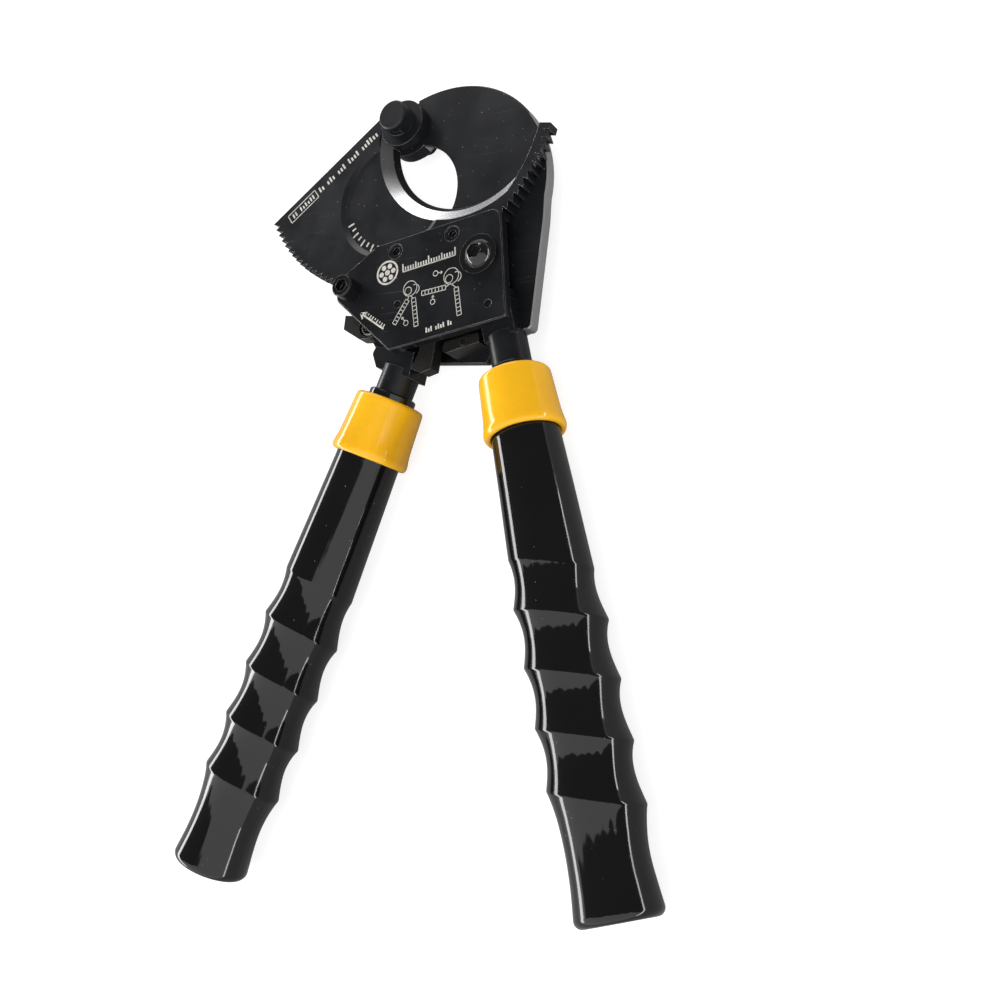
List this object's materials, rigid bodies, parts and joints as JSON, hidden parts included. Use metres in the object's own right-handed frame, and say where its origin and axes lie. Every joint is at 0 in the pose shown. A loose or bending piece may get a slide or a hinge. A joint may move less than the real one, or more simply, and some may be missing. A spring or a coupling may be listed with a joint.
{
  "type": "ratcheting cable cutter",
  "caption": "Two-handed ratcheting cable cutter: a toothed hooked blade swings past a fixed blade, driven by a pawl on the pump handle between two side plates.",
  "frame": {"origin": "on the axis of the blade pivot, at the rear end of the pivot bolt, which is the plane that the tool lies on", "axes": "+Z out of the front face along the blade pivot, +Y towards the jaws, +X towards the fixed handle's side"},
  "size_m": [0.2126, 0.3394, 0.0349],
  "materials": {
    "black_steel": "black oxide, satin, bright where ground",
    "bolt_steel": "black oxide, semi-gloss",
    "bare_steel": "bare machined steel",
    "tube_steel": "plain drawn steel",
    "spring_steel": "oiled spring wire",
    "bushing_bronze": "oil-filled bronze",
    "black_vinyl": "gloss moulded vinyl",
    "yellow_vinyl": "gloss moulded plastic"
  },
  "bodies": {
    "fixed_frame": {"fixed_blade": "black_steel", "front_cover": "black_steel", "rear_cover": "black_steel", "stop_bar": "bare_steel", "stop_bar_pin": "bolt_steel", "pivot_bolt": "bolt_steel", "pivot_washer": "bolt_steel", "pivot_bushing": "bushing_bronze", "pivot_nut": "bare_steel", "clamp_bolt": "bolt_steel", "clamp_spacer": "bare_steel", "clamp_nut": "bolt_steel", "handle_bolt": "bolt_steel", "handle_sleeve": "bare_steel", "handle_nut": "bolt_steel", "guide_screws": "bolt_steel", "cover_dowels": "bolt_steel", "holding_pawl_pin": "bolt_steel", "fixed_handle_tang": "black_steel", "right_ferrule": "bolt_steel", "right_collar": "yellow_vinyl", "right_grip": "black_vinyl", "right_tube": "tube_steel"},
    "blade": {"moving_blade": "black_steel"},
    "handle": {"handle_forging": "black_steel", "drive_pawl_pin": "bolt_steel", "left_ferrule": "bolt_steel", "left_collar": "yellow_vinyl", "left_grip": "black_vinyl", "left_tube": "tube_steel"},
    "drive_pawl": {"drive_pawl": "bare_steel", "drive_pawl_spring": "spring_steel"},
    "holding_pawl": {"holding_pawl": "bare_steel", "holding_pawl_spring": "spring_steel"}
  },
  "joints": [
    {"name": "blade_pivot", "type": "hinge", "parent": "fixed_frame", "child": "blade", "pos_m": [0, 0, 0.0164], "axis": [0, 0, 1], "range_deg": [-80, 52]},
    {"name": "handle_pivot", "type": "hinge", "parent": "fixed_frame", "child": "handle", "pos_m": [-0.0113, -0.0781, 0.0164], "axis": [0, 0, 1], "range_deg": [-54, 0]},
    {"name": "drive_pawl_pivot", "type": "hinge", "parent": "handle", "child": "drive_pawl", "pos_m": [-0.004, -0.0925, 0.0164], "axis": [0, 0, 1], "range_deg": [-10, 0], "stiffness_Nm_per_rad": 0.03, "springref_deg": 20.05},
    {"name": "holding_pawl_pivot", "type": "hinge", "parent": "fixed_frame", "child": "holding_pawl", "pos_m": [0.031, -0.089, 0.0164], "axis": [0, 0, 1], "range_deg": [0, 8], "stiffness_Nm_per_rad": 0.03, "springref_deg": -20.05}
  ]
}
